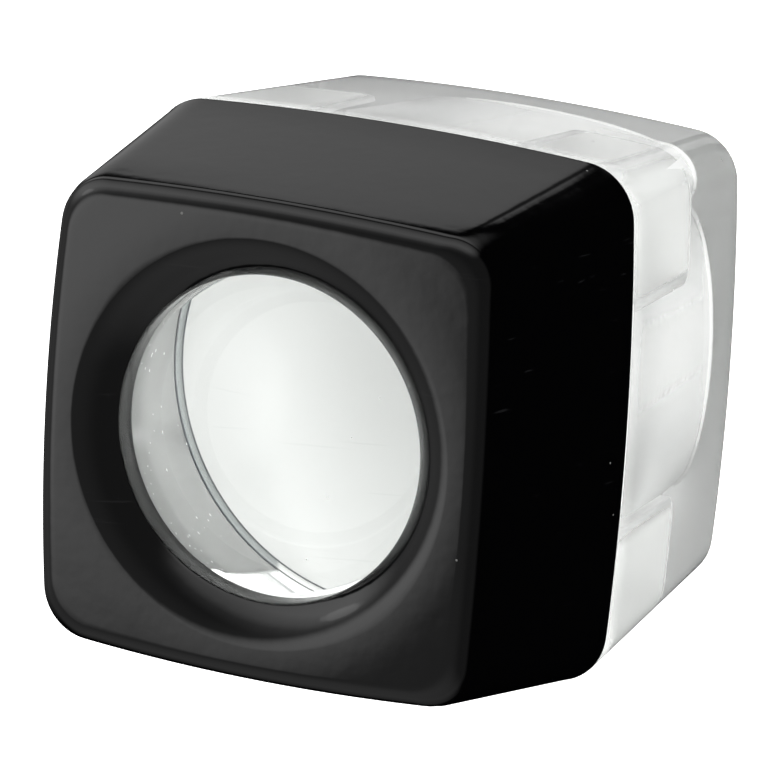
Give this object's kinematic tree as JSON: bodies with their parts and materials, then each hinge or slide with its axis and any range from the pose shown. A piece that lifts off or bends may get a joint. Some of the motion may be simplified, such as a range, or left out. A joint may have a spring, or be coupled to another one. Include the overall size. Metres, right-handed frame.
{
  "type": "stand loupe",
  "caption": "Square standing magnifier: a black eye cap with a dished round opening on a clear tapered skirt, with one thick clear lens clamped between them.",
  "frame": {"origin": "middle of the flat film side that the loupe stands on", "axes": "+Z along the lens axis from the film side to the eye; +X and +Y square to the flat sides"},
  "size_m": [0.04, 0.04, 0.044],
  "materials": {
    "cap_black": "moulded black plastic, polished, with faint hairline scratches",
    "lens_clear": "polished clear acrylic domes with a satin edge",
    "skirt_clear": "thick clear acrylic, polished outside, satin in the bore"
  },
  "bodies": {
    "root": {"eye_cap": "cap_black", "lens": "lens_clear", "skirt": "skirt_clear"}
  },
  "joints": []
}
